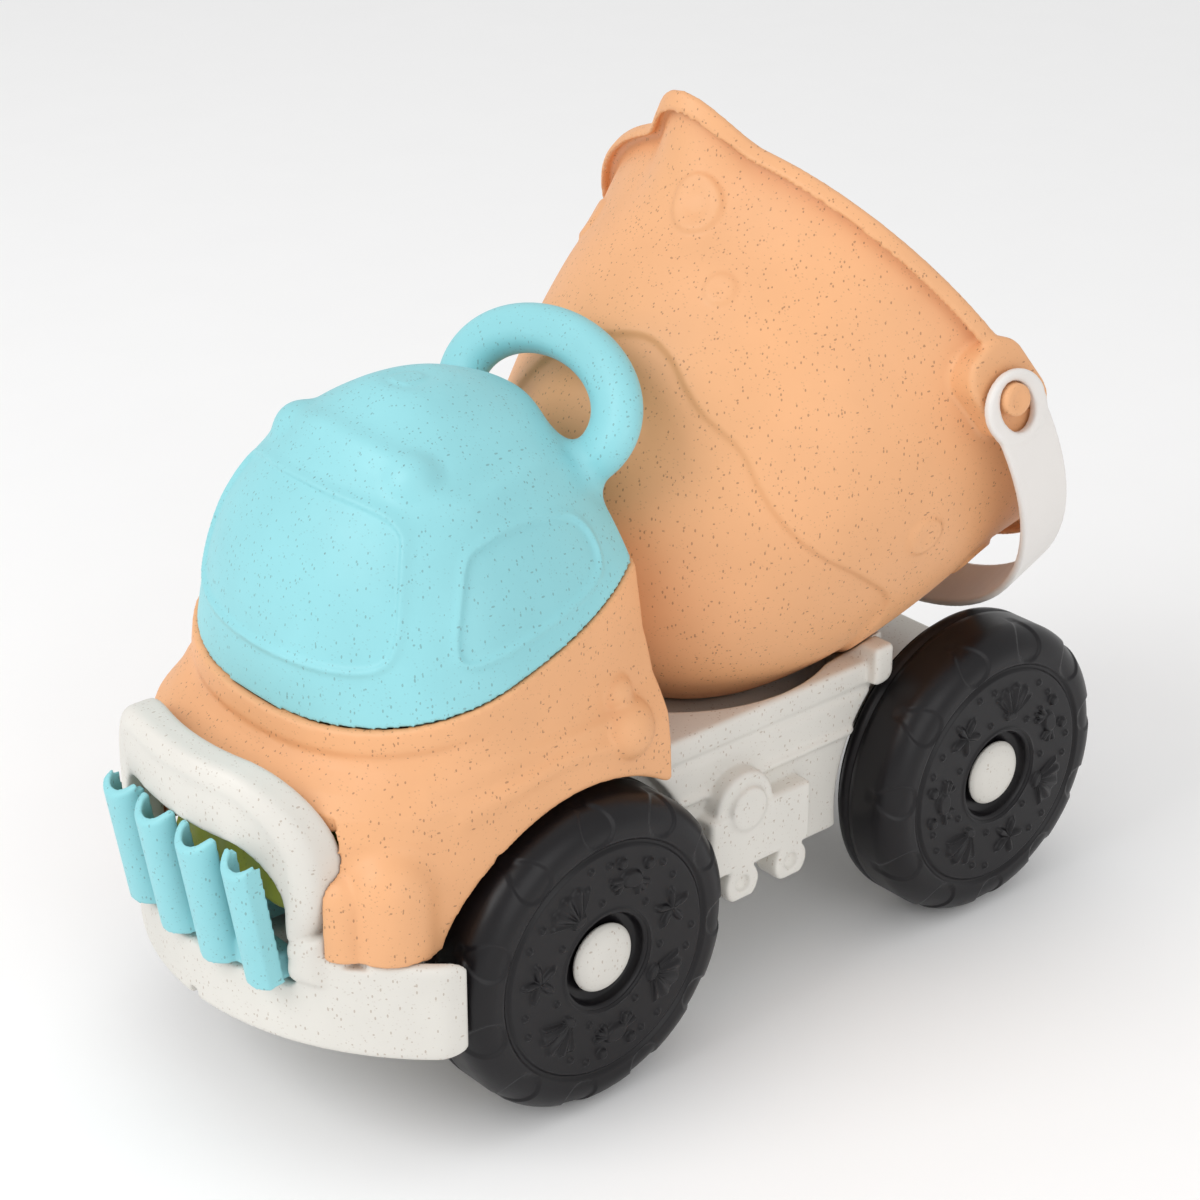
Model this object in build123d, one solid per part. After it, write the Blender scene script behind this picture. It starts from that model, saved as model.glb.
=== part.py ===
from build123d import *
import math
import os

# Toy cement mixer: a sand-play truck whose drum is a lift-out pail and whose cab roof is a scoop.
# All lengths are millimetres. X points forward, Y to the truck's left, Z up. Z = 0 is the ground.
# Stations along X are first written from the middle of the wheelbase, then everything is moved by
# shift_x so that the origin is under the middle of the whole truck.

# ---------------------------------------------------------------- driving dimensions
wheel_d = 90.0            # wheel diameter
wheel_w = 24.7            # wheel width over shell and back disc
wheel_in = 45.3           # |y| of the wheel's inner face
wheelbase = 151.0
axle_d = 5.0
axle_len = 136.0
hub_bore_d = 5.16
chassis_bore_d = 5.10
cap_d = 19.6

nose_x = 159.0            # front of the bumper
bumper_half = 68.0
bumper_sag = 33.0         # how far the bumper's ends lie behind its middle
fascia_t = 4.2
bumper_z0, bumper_z1 = 35.5, 63.0
frame_half, frame_top = 43.5, 111.0
mouth_half, mouth_z0, mouth_z1 = 36.0, 53.0, 91.0

cab_rear = 45.0           # x of the cab's flat rear wall
cab_wall = 2.6
seam_z, seam_k = 156.4, -0.30   # plane of the cab rim: z = seam_z + seam_k * x
deck_z = 87.0             # top of the chassis behind the cab
deck_half = 50.0
under_z = 37.0            # underside of the chassis

pail_o = (-70.5, 0.0, 165.3)    # centre of the pail's mouth
pail_tilt = 56.1          # angle of the pail's axis from vertical, leaning to the rear
pail_turn = 11.0           # the pail sits turned by this much about its own axis
pail_wall = 2.2
rim_r = 82.5
ear_s = 9.5               # pegs lie this far below the rim plane
ear_face = 82.7
peg_r = 4.5
strap_in, strap_t, strap_w = 84.2, 2.2, 18.0
bail_depth = 87.4
bail_lean = 25.0          # the hanging bail leans this far to the rear of straight down

shift_x = -23.575

axle_z = wheel_d / 2
xf, xr = wheelbase / 2, -wheelbase / 2
os.makedirs("parts", exist_ok=True)
nodes = {}


def keep(name, shape):
    shape = Pos(shift_x, 0, 0) * shape
    shape.label = name
    nodes[name] = shape


def biggest(shape):
    s = sorted(shape.solids(), key=lambda q: q.volume)
    return s[-1]


def frustum_y(x, z, y0, y1, r):
    """cylinder along Y from y0 to y1"""
    c = (y0 + y1) / 2
    return Pos(x, c, z) * Rot(90, 0, 0) * Cylinder(r, abs(y1 - y0))


# ---------------------------------------------------------------- wheels
def revolve_profile(pts):
    """closed (r, z) polygon turned about Z"""
    f = make_face(Polyline(*[(r, 0, z) for r, z in pts], close=True))
    return revolve(f, Axis.Z, 360)


R = wheel_d / 2
shoulder = 8.0
arc = [(R - shoulder + shoulder * math.sin(math.radians(a)), wheel_w - shoulder + shoulder * math.cos(math.radians(a)) - 0.6)
       for a in range(0, 91, 15)]
shell_pts = [(hub_bore_d / 2, 20.2), (12.8, 20.2), (13.6, 24.0), (32.9, 24.1), (33.4, 23.3), (34.4, 23.3), (34.9, 24.1)] + \
    arc + [(R, 4.0), (R - 1.2, 2.4), (R - 4.2, 2.4), (R - 4.2, 15.0), (R - 8.5, 21.6), (15.8, 21.6), (15.0, 17.8),
           (8.0, 17.8), (8.0, 2.4), (hub_bore_d / 2, 2.4)]
disc_pts = [(hub_bore_d / 2, 0.0), (10.0, 0.0), (10.5, 0.6), (39.0, 0.6), (R - 3.0, 0.6), (R - 1.9, 1.2), (R - 1.9, 2.4),
            (R - 4.45, 2.4), (R - 4.45, 5.2), (R - 6.6, 5.2), (R - 6.6, 2.4), (hub_bore_d / 2, 2.4)]
shell = revolve_profile(shell_pts)
disc = revolve_profile(disc_pts)
cap = revolve_profile([(0, 23.2), (axle_d / 2, 23.2), (axle_d / 2, 20.6), (7.6, 20.6), (cap_d / 2 - 0.3, 21.1), (cap_d / 2, 21.9),
                       (cap_d / 2 - 1.0, 23.1), (6.6, 24.2), (3.4, 24.75), (0, 24.9)])
for tag, wx, side in (("front_left", xf, 1), ("front_right", xf, -1), ("rear_left", xr, 1), ("rear_right", xr, -1)):
    place = Pos(wx, side * wheel_in, axle_z) * Rot(-90 * side, 0, 0)
    keep(f"wheel_shell_{tag}", place * shell)
    keep(f"wheel_back_{tag}", place * disc)
    keep(f"hub_cap_{tag}", place * cap)
cap_seat = wheel_in + 23.2
for tag, wx in (("front", xf), ("rear", xr)):
    keep(f"{tag}_axle", frustum_y(wx, axle_z, -cap_seat, cap_seat, axle_d / 2))

# ---------------------------------------------------------------- egg-shaped sections of the cab and its roof
def egg(xc, af, ar, b, z0, k, n=2.2, m=12, off=0.0):
    """closed section: af forward, ar rearward, b to each side, on the plane z = z0 + k * (x - xc)"""
    pts = []
    for i in range(m):
        t = 2 * math.pi * i / m
        c, s = math.cos(t), math.sin(t)
        a = (af if c > 0 else ar) - off
        x = xc + a * math.copysign(abs(c) ** (2 / n), c)
        y = (b - off) * math.copysign(abs(s) ** (2 / n), s)
        pts.append((x, y, z0 + k * (x - xc)))
    return make_face(Spline(*pts, periodic=True))


def slab(x0, x1, y0, y1, z0, z1):
    return Pos((x0 + x1) / 2, (y0 + y1) / 2, (z0 + z1) / 2) * Box(x1 - x0, y1 - y0, z1 - z0)


def roof_sections(off, drop, cap_z):
    zc = seam_z + seam_k * 94
    return loft([
        egg(94, 41.1, 70.9, 57.6, zc - drop, seam_k, off=off),
        egg(93.6, 38.5, 57.6, 53.0, zc + 18, -0.21, off=off),
        egg(91.5, 32.8, 47.2, 42.2, zc + 36, -0.12, off=off),
        egg(88, 20.5, 37.0, 26.5, zc + 51 - off * 0.5, -0.05, off=off),
        egg(84, 7.0, 15.0, 10.0, zc + cap_z, 0.0, off=off * 0.6),
    ])


roof_gap = 0.35
outer = roof_sections(0.0, -roof_gap, 61.0)
inner = roof_sections(cab_wall, 6.0, 61.0 - cab_wall)
roof = outer - inner
roof = roof - slab(-60, cab_rear, -90, 90, 60, 260)
rear_wall = (outer & slab(cab_rear, cab_rear + cab_wall, -90, 90, 60, 260))
roof = roof + rear_wall
# marker-lamp bumps on the brow
for s in (-1, 1):
    roof = roof + (Pos(99.8, s * 23.6, 172.6) * Sphere(7.4) - inner)
# upright grip: an oval loop standing across the roof's rear edge and leaning back
grip_lean, grip_c = 30.0, (40.5, 0.0, 172.8)
grip_plane = Plane(origin=grip_c, x_dir=(0, 1, 0), z_dir=(math.cos(math.radians(grip_lean)), 0, math.sin(math.radians(grip_lean))))
ring = grip_plane * (extrude(Ellipse(38.5, 25.0), 4.6, both=True) - extrude(Pos(0, -0.8, 0) * Ellipse(23.0, 12.2), 20, both=True))
ring = ring - slab(cab_rear + 3.0, 200, -90, 90, 60, 260) - inner
grip_cut = slab(-60, cab_rear, -90, 90, 60, seam_z + seam_k * cab_rear + 2.0)
roof = biggest(roof + (ring - grip_cut))
keep("roof_scoop", roof)

# ---------------------------------------------------------------- cab shell
def cab_sections(off, top_z, low_z):
    zc = seam_z + seam_k * 94
    return loft([
        egg(85, 68.5, 110, 62.5, low_z, 0.0, n=2.7, off=off),
        egg(85, 68.5, 110, 62.5, 84.0, 0.0, n=2.7, off=off),
        egg(86, 63.0, 100, 61.0, 106.0, -0.06, n=2.5, off=off),
        egg(92, 46.0, 80, 58.8, zc - 12, seam_k * 0.8, n=2.3, off=off),
        egg(94, 42.6, 72, 58.6, zc + top_z, seam_k, off=off),
    ])


cab = cab_sections(0.0, 0.0, 62.3)
cab = cab - slab(-80, cab_rear, -90, 90, 0, 260)
# headlight housings at the front corners
for s in (-1, 1):
    bulge = Pos(129.9, s * 49.0, 71.4) * Cylinder(11.7, 18.2) + Pos(129.9, s * 49.0, 80.5) * Sphere(11.7)
    cab = cab + bulge
    # rounded door nub by the rear corner
    cab = cab + Pos(58.5, s * 54.0, 104.0) * Sphere(10.0) + Pos(60.5, s * 53.5, 113.0) * Sphere(5.6)
cab = cab - slab(-80, cab_rear, -90, 90, 0, 260)
# inside: a wide upper cavity open at the rim, a narrow lower one between the wheel wells
hollow = cab_sections(cab_wall, 8.0, 55.0) - slab(-80, cab_rear + cab_wall, -90, 90, 0, 260)
for s in (-1, 1):
    hollow = hollow - slab(-80, 200, min(s * 41.0, s * 90), max(s * 41.0, s * 90), 0, 96.0)
cab = cab - hollow
# wheel wells
for s in (-1, 1):
    y0, y1 = sorted((s * 43.6, s * 90))
    cab = cab - frustum_y(xf, axle_z, y0, y1, 48.4)
    cab = cab - slab(cab_rear - 5, xf + 30, y0, y1, 40, 84.6)
# the chassis deck passes under the rear of the cab
cab = cab - slab(0, cab_rear + 14, -deck_half - 0.3, deck_half + 0.3, 0, deck_z + 0.2)
cab = cab - slab(0, 70, -90, 90, 0, 84.6)
# opening behind the grille mouth
cab = cab - slab(120, 200, -mouth_half - 2.0, mouth_half + 2.0, 50, mouth_z1 + 2.0)


# ---------------------------------------------------------------- bumper and grille frame, one curved moulding
def arc_band(ahead, t, z0, z1):
    """upright curved plate following the nose, its outer face `ahead` mm in front of the nose line"""
    rr = (bumper_half ** 2 + bumper_sag ** 2) / (2 * bumper_sag)
    cx = nose_x - rr
    h = z1 - z0
    return (Pos(cx, 0, (z0 + z1) / 2) * Cylinder(rr + ahead, h)) - (Pos(cx, 0, (z0 + z1) / 2) * Cylinder(rr + ahead - t, h + 2))


def front_plate(sketch, x0=110, x1=180):
    """(y, z) sketch pushed along X"""
    pl = Plane(origin=(x0, 0, 0), x_dir=(0, 1, 0), z_dir=(1, 0, 0))
    return extrude(pl * sketch, x1 - x0)


bump_sk = Pos(0, (bumper_z0 + bumper_z1) / 2) * RectangleRounded(2 * bumper_half, bumper_z1 - bumper_z0, 3.5)
frame_sk = Pos(0, (56 + frame_top) / 2) * RectangleRounded(2 * frame_half, frame_top - 56, 26.0) + \
    Pos(0, 62) * Rectangle(2 * frame_half, 14)
mouth_sk = Pos(0, (mouth_z0 + mouth_z1) / 2) * RectangleRounded(2 * mouth_half, mouth_z1 - mouth_z0, 17.0) + \
    Pos(0, mouth_z0 + 9) * RectangleRounded(2 * mouth_half, 18, 4.0)
bumper = arc_band(0.0, fascia_t, 20, 120) & front_plate(bump_sk)
frame_part = arc_band(2.0, fascia_t + 6.0, 20, 120) & front_plate(frame_sk)
fascia = (bumper + frame_part) - front_plate(mouth_sk)
fascia = fascia - slab(140, 170, -3.0, 3.0, bumper_z0 - 1, bumper_z0 + 2.6)
# two slots take the cab's tabs
for s in (-1, 1):
    fascia = fascia - slab(140, 165, s * 51.5 - 4.0, s * 51.5 + 4.0, 61.0, 64.0)
fascia = biggest(fascia)
recess_sk = Pos(0, (50 + frame_top) / 2) * RectangleRounded(2 * frame_half + 0.8, frame_top - 50 + 0.8, 26.0) + Pos(0, 62) * Rectangle(2 * frame_half + 0.8, 16)
cab = cab - (arc_band(2.4, fascia_t + 6.7, 20, 130) & front_plate(recess_sk))
cab = cab - (arc_band(0.0, fascia_t + 0.3, 20, 63.2) & front_plate(Pos(0, 50) * Rectangle(2 * bumper_half + 2, 60)))
cab = biggest(cab)
# shelf ribs that carry the stored sand mould
for s in (-1, 1):
    cab = cab + slab(104, 136, min(s * 33.5, s * 41.4), max(s * 33.5, s * 41.4), 66.0, 68.0)
cab = biggest(cab)
keep("cab_shell", cab)
keep("bumper_grille", fascia)

# ---------------------------------------------------------------- chassis
body = slab(-46, 52, -deck_half, deck_half, under_z, deck_z)
body = body + slab(-104, -40, -42.5, 42.5, under_z, 64.0)          # rear frame between the wheels
body = body + slab(40, 142.0, -39.0, 39.0, under_z, 51.5)          # front frame under the cab
cradle = [slab(-52, -40, -43.0, 43.0, 60, 92.5)]                    # raised cradle behind the bowl
for s in (-1, 1):
    cradle.append(slab(-46, -38.5, min(s * 40, s * 53.5), max(s * 40, s * 53.5), deck_z - 6, 92.0))
    # side tank with a half-round ledge and two lugs
    y0, y1 = sorted((s * 49, s * 57.0))
    body = body + slab(-11, 27, y0, y1, 43.0, 62.0)
    body = body + Pos(13.5, s * 50, 62.0) * Rot(90, 0, 0) * Cylinder(10.5, 12)
    for lx in (15.0, -3.6):
        body = body + Pos(lx, s * 53, 38.5) * Rot(90, 0, 0) * Cylinder(6.2, 8.0)
# wheel arches
for wx in (xf, xr):
    for s in (-1, 1):
        y0, y1 = sorted((s * 43.0, s * 90))
        body = body - frustum_y(wx, axle_z, y0, y1, 47.6)
# hollow from below
body = body - slab(-43, 49, -47.2, 47.2, under_z - 1, 63.5)
body = body - slab(-101, -38, -39.5, 39.5, under_z - 1, 61.0)
body = body - slab(44, 139, -36.0, 36.0, under_z - 1, 48.8)
# axle bearing blocks
for wx in (xf, xr):
    top = 49.5 if wx > 0 else 61.5
    for s in (-1, 1):
        y0, y1 = sorted((s * 30.0, s * 44.7))
        body = body + slab(wx - 5.5, wx + 5.5, min(s * 30, s * 39.5), max(s * 30, s * 39.5), under_z, top)
        body = body + frustum_y(wx, axle_z, min(s * 36, s * 44.7), max(s * 36, s * 44.7), 6.5)
    body = body - frustum_y(wx, axle_z, -60, 60, chassis_bore_d / 2)

# ---------------------------------------------------------------- pail (the mixer drum)
tau = math.radians(pail_tilt)
ax_v = (-math.sin(tau), 0.0, math.cos(tau))          # out of the mouth
ref_v = (math.cos(tau), 0.0, math.sin(tau))          # across the mouth, upwards
pail_plane = Plane(origin=pail_o, x_dir=ref_v, z_dir=ax_v)
turn = Rot(0, 0, -pail_turn)
profile = [(78.5, 0), (76.2, -9), (72.8, -22), (70.6, -38), (66.0, -58), (58.6, -79), (48.2, -98), (36.5, -111), (24.0, -118.6), (12.0, -121.2)]


def drum(off, z_top, z_bottom):
    pts = [((r + off), 0, z + (0 if i < 5 else -0.0)) for i, (r, z) in enumerate(profile)]
    pts[0] = (78.5 + off, 0, z_top)
    pts[-1] = (12.0, 0, z_bottom)
    pts[-2] = (24.0 + off * 0.6, 0, z_bottom + 2.6)
    e = Spline(*pts)
    w = Wire([e, Line(pts[-1], (0, 0, z_bottom)), Line((0, 0, z_bottom), (0, 0, z_top)), Line((0, 0, z_top), pts[0])])
    return revolve(make_face(w), Axis.Z, 360)


drum_edge = Spline(*[(r, 0, z) for r, z in profile[:-2]], (24.0, 0, -118.6), (12.0, 0, -121.2))
drum_out = drum(0.0, 0.0, -121.2)
drum_in = drum(-pail_wall, 3.0, -121.2 + pail_wall)
lip = revolve(make_face(Polyline((77.0, 0, 0), (rim_r - 0.8, 0, 0), (rim_r, 0, -0.8), (rim_r, 0, -4.2), (rim_r - 1.6, 0, -4.2),
                                 (rim_r - 1.8, 0, -1.8), (76.6, 0, -1.8), close=True)), Axis.Z, 360)
# pouring spout opposite neither peg: a quarter turn from both, at the top
spout_out = Rot(0, 0, 6) * loft([Plane(origin=(80, 0, -0.01)) * Ellipse(17.3, 14.0), Plane(origin=(73, 0, -22)) * Ellipse(6.0, 6.0)])
spout_in = Rot(0, 0, 6) * loft([Plane(origin=(80, 0, 0.5)) * Ellipse(15.1, 11.8), Plane(origin=(72, 0, -19)) * Ellipse(4.0, 4.0)])
pail = drum_out + lip + spout_out
for s in (-1, 1):
    ear = Pos(0, s * (ear_face - 6.0), -8.6) * (Pos(0, 0, 3.6) * Box(29.6, 12.0, 10.0) + Pos(0, 0, -1.4) * Box(24.0, 12.0, 14.4))
    ear = ear & Pos(0, 0, -14) * Cylinder(rim_r + 3.0, 28.0)
    pail = pail + ear
    pail = pail + Pos(0, s * (ear_face + 2.6), -ear_s) * Rot(90, 0, 0) * Cylinder(peg_r, 6.0)
pail = pail - drum_in - spout_in
# raised swirl discs of the pouring pattern stay in the wall's own thickness and are not part of this solid
pail = biggest(pail)
pail_w = pail_plane * turn * pail
clear_pts = [(r + 0.6, 0, z) for r, z in ((v.X, v.Z) for v in [drum_edge @ (i / 40) for i in range(41)])]
clear_pts[-1] = (clear_pts[-1][0], 0, -122.0)
drum_clear = pail_plane * revolve(make_face(Polyline(*clear_pts, (0, 0, -122.0), (0, 0, clear_pts[0][2]), close=True)), Axis.Z, 360)
# bowl in the deck, and a seat that follows the drum
bowl = Pos(-8, 0, 84) * Cylinder(47.0, 20.0)
seat = slab(-50, 36, -46.9, 46.9, 63.0, 74.0)
body = body - bowl
body = body - drum_clear
body = body + ((seat & Pos(-8, 0, 68) * Cylinder(47.2, 24)) - drum_clear)
for piece in cradle:
    body = body + (piece - bowl - drum_clear)
body = body - drum_clear
body = biggest(body)
keep("chassis", body)
keep("pail_drum", pail_w)

# ---------------------------------------------------------------- bail
th = math.radians(pail_turn)
peg_dir = Vector(0, 1, 0) * math.cos(th) + Vector(*ref_v) * math.sin(th)
peg_mid = Vector(*pail_o) - Vector(*ax_v) * ear_s
lean = math.radians(bail_lean)
down0 = Vector(-math.sin(lean), 0, -math.cos(lean))
down = (down0 - peg_dir * down0.dot(peg_dir)).normalized()
side_v = peg_dir.cross(down)
bail_plane = Plane(origin=peg_mid, x_dir=peg_dir, z_dir=side_v)      # its y direction points along -down or down
ysign = 1 if bail_plane.y_dir.dot(down) > 0 else -1


def u_path(hw, depth, straight):
    """outline of the U at half-width hw: straight legs, then half an ellipse"""
    pts = [(-hw, ysign * (-12.0)), (-hw, ysign * straight)]
    el = [(hw * math.cos(math.radians(a)), ysign * (straight + (depth - straight) * math.sin(math.radians(a)))) for a in range(180, -1, -15)]
    return pts, el


def u_face(hw, depth, straight):
    pts, el = u_path(hw, depth, straight)
    e1 = Line(pts[0], pts[1])
    e2 = Spline(*el, tangents=[(0, ysign), (0, -ysign)])
    e3 = Line((hw, ysign * straight), (hw, ysign * (-12.0)))
    e4 = Line((hw, ysign * (-12.0)), (-hw, ysign * (-12.0)))
    return make_face(Wire([e1, e2, e3, e4]))


hw_in, hw_out = strap_in, strap_in + strap_t
u_out = extrude(u_face(hw_out, bail_depth, 4.0), strap_w / 2, both=True)
u_in = extrude(Pos(0, ysign * -0.5) * u_face(hw_in, bail_depth - strap_t + 0.5, 4.0), strap_w, both=True)
strap = u_out - u_in
eye_drop = 2.6            # the eyelet hangs on the peg, so its centre is a little lower
for s in (-1, 1):
    yc = ysign * eye_drop
    # rounded end of the strap
    far = Pos(s * 84.5, ysign * (-22 + eye_drop)) * Box(12, 44, 60)
    round_end = Pos(s * 84.5, yc) * Rot(0, 90, 0) * Cylinder(11.5, 12)
    strap = strap - (far - round_end)
    if strap_w / 2 < 11.5:
        strap = strap + (Pos(s * (strap_in + strap_t / 2), yc) * Rot(0, 90, 0) * Cylinder(11.5, strap_t))
    strap = strap - (Pos(s * 84.5, yc) * Rot(0, 90, 0) * Cylinder(peg_r + 2.7, 12))
strap = biggest(strap)
keep("pail_bail", bail_plane * strap)

# ---------------------------------------------------------------- rake stored in the mouth
rake_y = 3.0
tine_w, tine_lean = 14.2, 9.0
rk = None
for i, ty in enumerate((-27.0, -9.2, 9.2, 27.0)):
    bx = 155.4 - (ty / 60.0) ** 2 * 10.0
    shape = Pos(bx, ty + rake_y, 0) * Pos(0, 0, 55) * Rot(0, tine_lean, 0) * Pos(0, 0, 19) * (Cylinder(tine_w / 2, 38) - Cylinder(tine_w / 2 - 2.2, 40) - Pos(-10, 0, 0) * Box(20, 30, 50))
    shape = shape - (Pos(bx + 14.5, ty + rake_y, 97) * Rot(0, 38, 0) * Box(34, 30, 16))
    rk = shape if rk is None else rk + shape
cross = Pos(152.7, rake_y, 58.2) * Box(8.6, 61.0, 8.2)
rk = rk + cross
rk = rk + slab(62, 152, rake_y - 5.5, rake_y + 5.5, 54.0, 60.0)
rk = rk + Pos(64, rake_y, 57.0) * Cylinder(8.0, 6.0)
rk = rk & slab(50, 175, rake_y - 32.4, rake_y + 32.4, 55.3, 97)
rk = biggest(rk - slab(140, 161.6, -45, 45, 90.4, 100))
keep("sand_rake", rk)

# ---------------------------------------------------------------- sand mould stored in the cab
mould_x = 126.0
mould_out = loft([Pos(mould_x, 0, 68.35) * RectangleRounded(42, 66, 14), Pos(mould_x, 0, 91.0) * RectangleRounded(32, 54, 12)])
mould_in = loft([Pos(mould_x, 0, 68.2) * RectangleRounded(38, 62, 12), Pos(mould_x, 0, 89.0) * RectangleRounded(28.4, 50.4, 10)])
mould = mould_out - mould_in
keep("sand_mould", biggest(mould))

# ---------------------------------------------------------------- output
lo = [1e9] * 3
hi = [-1e9] * 3
for name, shape in nodes.items():
    bb = shape.bounding_box()
    for i, (a, b) in enumerate(zip((bb.min.X, bb.min.Y, bb.min.Z), (bb.max.X, bb.max.Y, bb.max.Z))):
        lo[i] = min(lo[i], a)
        hi[i] = max(hi[i], b)
    export_step(shape, f"parts/{name}.step")
print("box", [round(v, 2) for v in lo], [round(v, 2) for v in hi])
print("peg_mid", peg_mid + Vector(shift_x, 0, 0), "peg_dir", peg_dir, "down", down, "ax", ax_v, "side", side_v)
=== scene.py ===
import bpy, math
import numpy as np
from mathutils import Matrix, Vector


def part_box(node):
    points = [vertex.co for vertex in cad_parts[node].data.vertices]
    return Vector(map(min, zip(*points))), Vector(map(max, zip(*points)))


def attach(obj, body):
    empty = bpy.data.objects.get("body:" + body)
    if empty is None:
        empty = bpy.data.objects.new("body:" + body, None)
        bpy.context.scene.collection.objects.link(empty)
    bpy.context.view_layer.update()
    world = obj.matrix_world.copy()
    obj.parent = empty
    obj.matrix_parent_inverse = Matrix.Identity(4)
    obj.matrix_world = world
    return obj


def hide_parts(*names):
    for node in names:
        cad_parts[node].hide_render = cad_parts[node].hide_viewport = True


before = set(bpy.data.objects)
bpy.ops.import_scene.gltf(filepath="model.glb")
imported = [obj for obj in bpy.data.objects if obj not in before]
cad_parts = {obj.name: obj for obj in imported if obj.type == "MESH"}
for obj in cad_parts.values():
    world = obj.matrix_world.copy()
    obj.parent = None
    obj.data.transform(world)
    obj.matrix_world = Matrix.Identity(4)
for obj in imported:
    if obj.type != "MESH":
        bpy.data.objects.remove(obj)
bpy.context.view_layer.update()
import openvdb as vdb
from mathutils import Matrix, Vector

F = np.float32
_lo, _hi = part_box("front_axle")
SX = (_lo[0] + _hi[0]) * 500.0 - 75.5        # all shapes below are in mm with x = 0 midway between the axles


# ------------------------------------------------------------------ field tools
def axes(lo, hi, h):
    a = [np.arange(l, u + h, h, dtype=F) for l, u in zip(lo, hi)]
    return a[0][:, None, None], a[1][None, :, None], a[2][None, None, :]


def smin(a, b, k):
    h = np.maximum(k - np.abs(a - b), 0) / k
    return np.minimum(a, b) - h * h * (k / 4)


def smax(a, b, k):
    return -smin(-a, -b, k)


def sstep(t):
    t = np.clip(t, 0, 1)
    return t * t * (3 - 2 * t)


def rbox(x, y, z, lo, hi, r):
    c = [(a + b) / 2 for a, b in zip(lo, hi)]
    q = [np.abs(v - m) - (b - a) / 2 + r for v, m, a, b in zip((x, y, z), c, lo, hi)]
    out = np.sqrt(np.maximum(q[0], 0) ** 2 + np.maximum(q[1], 0) ** 2 + np.maximum(q[2], 0) ** 2)
    return out + np.minimum(np.maximum(np.maximum(q[0], q[1]), q[2]), 0) - r


def rrect(u, v, cu, cv, hu, hv, r):
    a, b = np.abs(u - cu) - hu + r, np.abs(v - cv) - hv + r
    return np.sqrt(np.maximum(a, 0) ** 2 + np.maximum(b, 0) ** 2) + np.minimum(np.maximum(a, b), 0) - r


def ycyl(x, y, z, cx, cz, y0, y1, r, k=0.8):
    """cylinder along y with rounded rims"""
    a = np.sqrt((x - cx) ** 2 + (z - cz) ** 2) - r
    b = np.abs(y - (y0 + y1) / 2) - abs(y1 - y0) / 2
    return smax(a, b, k)


def ball(x, y, z, c, r):
    return np.sqrt((x - c[0]) ** 2 + (y - c[1]) ** 2 + (z - c[2]) ** 2) - r


def capsule(x, y, z, a, b, r):
    a, b = np.array(a, float), np.array(b, float)
    d = b - a
    t = np.clip(((x - a[0]) * d[0] + (y - a[1]) * d[1] + (z - a[2]) * d[2]) / float(d @ d), 0, 1)
    return np.sqrt((x - a[0] - t * d[0]) ** 2 + (y - a[1] - t * d[1]) ** 2 + (z - a[2] - t * d[2]) ** 2) - r


def smooth(pts, n=8, closed=False):
    """Catmull-Rom through the points"""
    p = np.array(pts, float)
    m = len(p)
    out = []
    for i in range(m if closed else m - 1):
        q = [p[(i + j) % m] if closed else p[min(max(i + j, 0), m - 1)] for j in (-1, 0, 1, 2)]
        for k in range(n):
            t = k / n
            out.append(0.5 * ((2 * q[1]) + (-q[0] + q[2]) * t + (2 * q[0] - 5 * q[1] + 4 * q[2] - q[3]) * t * t + (-q[0] + 3 * q[1] - 3 * q[2] + q[3]) * t ** 3))
    if not closed:
        out.append(p[-1])
    return np.array(out)


def line_dist(coords, pts):
    """distance from the points to a polyline, in 2 or 3 dimensions"""
    best = None
    for a, b in zip(pts[:-1], pts[1:]):
        d = b - a
        n = float(d @ d) + 1e-9
        t = np.clip(sum((c - a[i]) * d[i] for i, c in enumerate(coords)) / n, 0, 1)
        q = sum((c - a[i] - t * d[i]) ** 2 for i, c in enumerate(coords))
        best = q if best is None else np.minimum(best, q)
    return np.sqrt(best)


def inside(u, v, pts):
    odd = np.zeros(np.broadcast(u, v).shape, bool)
    m = len(pts)
    for i in range(m):
        (x0, y0), (x1, y1) = pts[i], pts[(i + 1) % m]
        if y0 == y1:
            continue
        odd ^= ((y0 > v) != (y1 > v)) & (u < (x1 - x0) * (v - y0) / (y1 - y0) + x0)
    return odd


def poly_field(u, v, pts):
    """signed distance to a closed outline"""
    p = np.vstack([pts, pts[:1]])
    d = line_dist((u, v), p)
    return np.where(inside(u, v, pts), -d, d)


def unit_field(f, h):
    """scales an implicit function to a distance near its zero"""
    g = np.gradient(f, h)
    n = np.sqrt(g[0] ** 2 + g[1] ** 2 + g[2] ** 2)
    return (f / np.maximum(n, 1e-4)).astype(F)


# ------------------------------------------------------------------ meshes
def new_object(name, v, faces_n, loops, mat, nodes, body):
    me = bpy.data.meshes.new(name)
    me.vertices.add(len(v))
    w = np.array(v, float)
    w = np.stack([w[:, 0] + SX, w[:, 1], w[:, 2]], 1) / 1000.0
    me.vertices.foreach_set("co", w.astype(F).ravel())
    me.loops.add(len(loops))
    me.loops.foreach_set("vertex_index", np.asarray(loops, np.int32))
    starts = np.concatenate([[0], np.cumsum(faces_n)[:-1]]).astype(np.int32)
    me.polygons.add(len(faces_n))
    me.polygons.foreach_set("loop_start", starts)
    me.update(calc_edges=True)
    me.validate()
    me.polygons.foreach_set("use_smooth", np.ones(len(me.polygons), bool))
    me.materials.append(mat)
    ob = bpy.data.objects.new(name, me)
    bpy.context.scene.collection.objects.link(ob)
    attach(ob, body)
    if nodes:
        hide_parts(*nodes)
    return ob


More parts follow.
